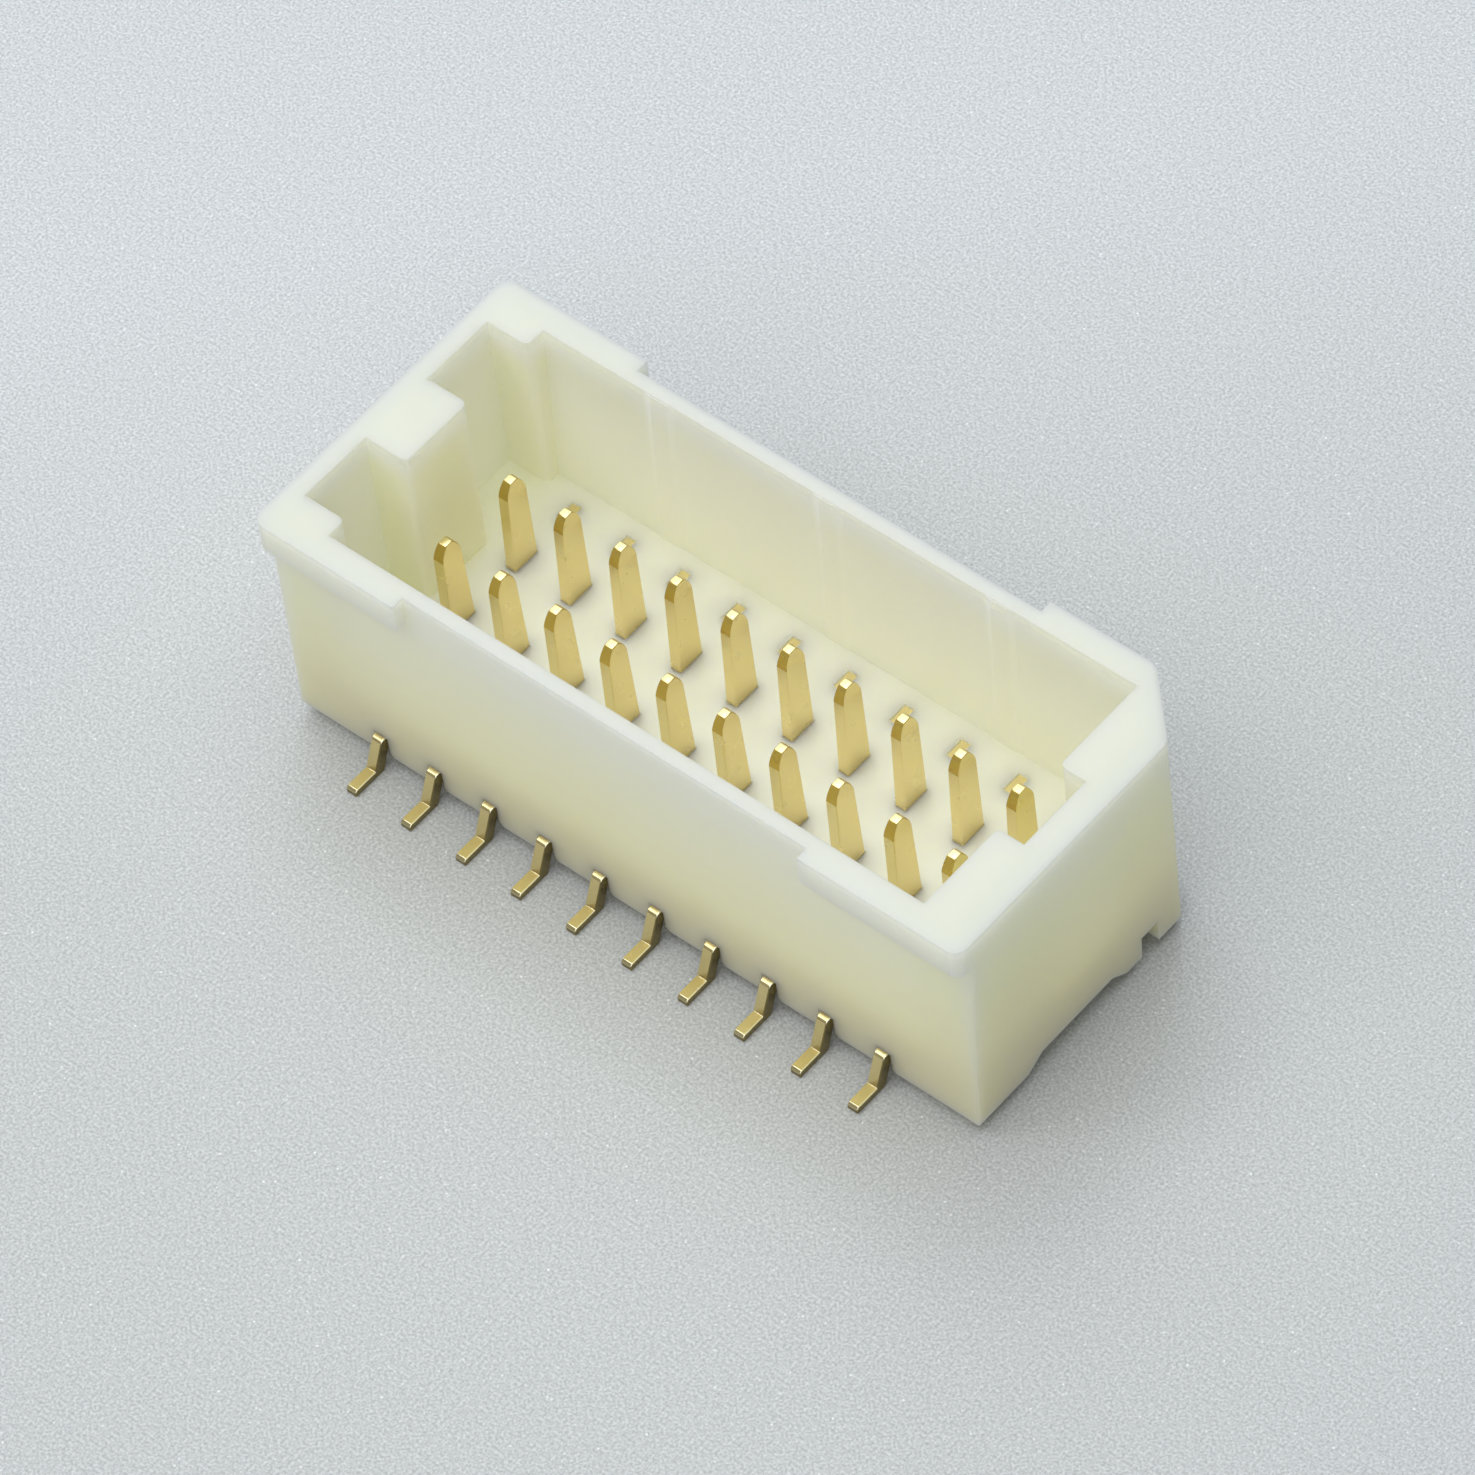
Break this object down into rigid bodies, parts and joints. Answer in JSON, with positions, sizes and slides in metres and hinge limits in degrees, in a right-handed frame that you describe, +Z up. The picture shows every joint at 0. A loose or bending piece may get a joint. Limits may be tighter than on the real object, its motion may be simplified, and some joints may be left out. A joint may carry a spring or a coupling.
{
  "type": "two-row surface-mount box header",
  "caption": "Open-topped moulded connector shroud with two rows of stamped blade contacts and gull-wing leads for soldering to a circuit board.",
  "frame": {"origin": "on the board surface, below the centre of the contact array", "axes": "+X along the rows towards the keyed end, +Y across the rows towards the far row and the cut corner, +Z up from the board to the open rim"},
  "size_m": [0.0124, 0.0064, 0.0044],
  "materials": {
    "housing_nylon": "satin moulded ivory nylon, slightly translucent",
    "contact_gold": "thin gold plating over stamped copper alloy"
  },
  "bodies": {
    "root": {"housing": "housing_nylon", "contact_near_01": "contact_gold", "contact_near_02": "contact_gold", "contact_near_03": "contact_gold", "contact_near_04": "contact_gold", "contact_near_05": "contact_gold", "contact_near_06": "contact_gold", "contact_near_07": "contact_gold", "contact_near_08": "contact_gold", "contact_near_09": "contact_gold", "contact_near_10": "contact_gold", "contact_far_01": "contact_gold", "contact_far_02": "contact_gold", "contact_far_03": "contact_gold", "contact_far_04": "contact_gold", "contact_far_05": "contact_gold", "contact_far_06": "contact_gold", "contact_far_07": "contact_gold", "contact_far_08": "contact_gold", "contact_far_09": "contact_gold", "contact_far_10": "contact_gold"}
  },
  "joints": []
}
